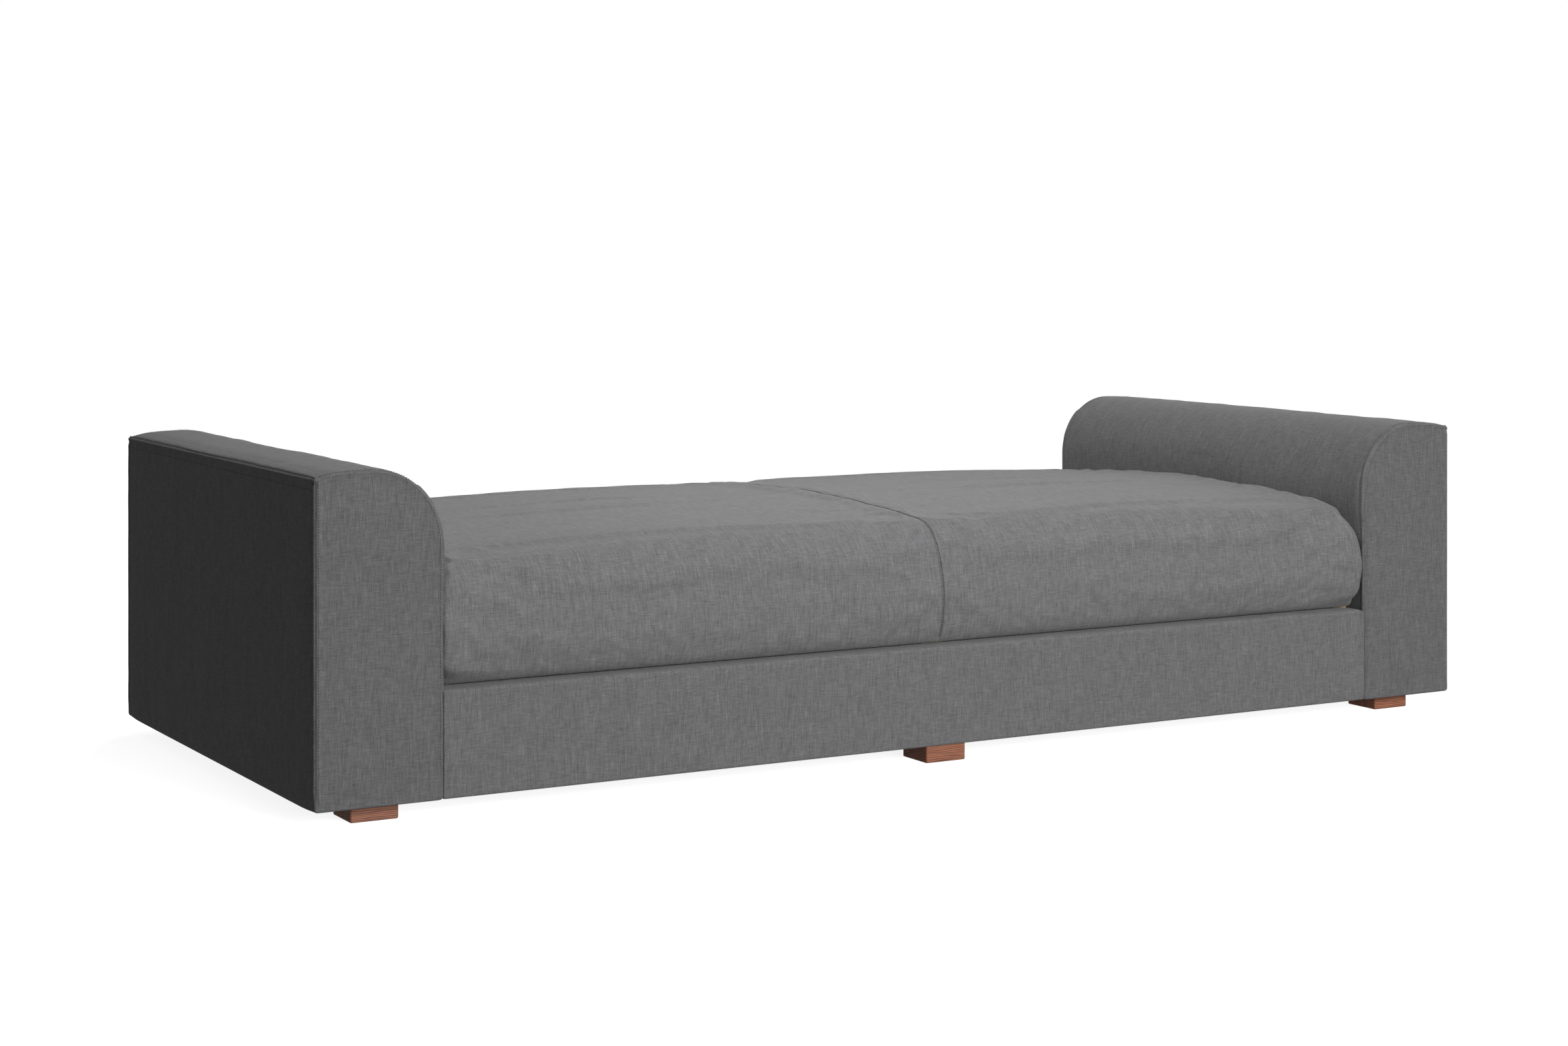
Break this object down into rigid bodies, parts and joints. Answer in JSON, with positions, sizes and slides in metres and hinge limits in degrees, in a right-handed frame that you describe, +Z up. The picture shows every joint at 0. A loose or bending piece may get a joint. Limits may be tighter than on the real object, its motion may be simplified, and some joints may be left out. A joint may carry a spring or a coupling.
{
  "type": "futon sofa bed",
  "caption": "Low upholstered futon sofa bed with rolled arms, a long flat pad on a rail base, block feet and a back half that folds up into a sofa back.",
  "frame": {"origin": "centre of the footprint, on the floor", "axes": "+X along the length, +Y to the back, +Z up"},
  "size_m": [2.32, 1, 0.557],
  "materials": {
    "upholstery": "slubby linen-look weave, matt",
    "foam": "open-cell foam",
    "backing_cloth": "black non-woven",
    "walnut": "oiled, horizontal grain",
    "beech": "laminated, lacquered",
    "pine": "planed",
    "plywood": "raw",
    "black_steel": "black zinc",
    "zinc_steel": "bright zinc"
  },
  "bodies": {
    "base": {"arm_bolts": "zinc_steel", "bracket_screws": "zinc_steel", "centre_beam": "pine", "dust_cover": "backing_cloth", "fold_filling": "foam", "foot_screws": "zinc_steel", "front_centre_foot": "walnut", "front_left_foot": "walnut", "front_rail": "pine", "front_rail_cover": "upholstery", "front_right_foot": "walnut", "left_arm_bottom_board": "pine", "left_arm_cover": "upholstery", "left_arm_foam": "foam", "left_arm_front_board": "pine", "left_arm_inner_panel": "plywood", "left_arm_outer_panel": "plywood", "left_arm_rear_board": "pine", "left_arm_top_board": "pine", "left_hinge_bracket": "black_steel", "left_hinge_pin": "zinc_steel", "left_ledger": "pine", "left_pawl_rivet": "zinc_steel", "left_pawl_spring": "zinc_steel", "rear_centre_foot": "walnut", "rear_left_foot": "walnut", "rear_rail": "pine", "rear_rail_cover": "upholstery", "rear_right_foot": "walnut", "right_arm_bottom_board": "pine", "right_arm_cover": "upholstery", "right_arm_foam": "foam", "right_arm_front_board": "pine", "right_arm_inner_panel": "plywood", "right_arm_outer_panel": "plywood", "right_arm_rear_board": "pine", "right_arm_top_board": "pine", "right_hinge_bracket": "black_steel", "right_hinge_pin": "zinc_steel", "right_ledger": "pine", "right_pawl_rivet": "zinc_steel", "right_pawl_spring": "zinc_steel", "seat_front_bar": "pine", "seat_left_bar": "pine", "seat_pad": "upholstery", "seat_rear_bar": "pine", "seat_right_bar": "pine", "seat_slats": "beech"},
    "back": {"back_cloth": "backing_cloth", "back_front_bar": "pine", "back_left_bar": "pine", "back_pad": "upholstery", "back_rear_bar": "pine", "back_right_bar": "pine", "back_slats": "beech", "hinge_arm_screws": "zinc_steel", "left_hinge_arm": "black_steel", "right_hinge_arm": "black_steel"},
    "left_pawl": {"left_pawl": "black_steel"},
    "right_pawl": {"right_pawl": "black_steel"}
  },
  "joints": [
    {"name": "back_fold", "type": "hinge", "parent": "base", "child": "back", "pos_m": [0, 0.07, 0.375], "axis": [1, 0, 0], "range_deg": [0, 75], "deforming": ["fold_filling"]},
    {"name": "left_pawl_swing", "type": "hinge", "parent": "base", "child": "left_pawl", "pos_m": [-0.9396, 0.012, 0.327], "axis": [-1, 0, 0], "range_deg": [0, 7]},
    {"name": "right_pawl_swing", "type": "hinge", "parent": "base", "child": "right_pawl", "pos_m": [0.9396, 0.012, 0.327], "axis": [-1, 0, 0], "range_deg": [0, 7]}
  ]
}
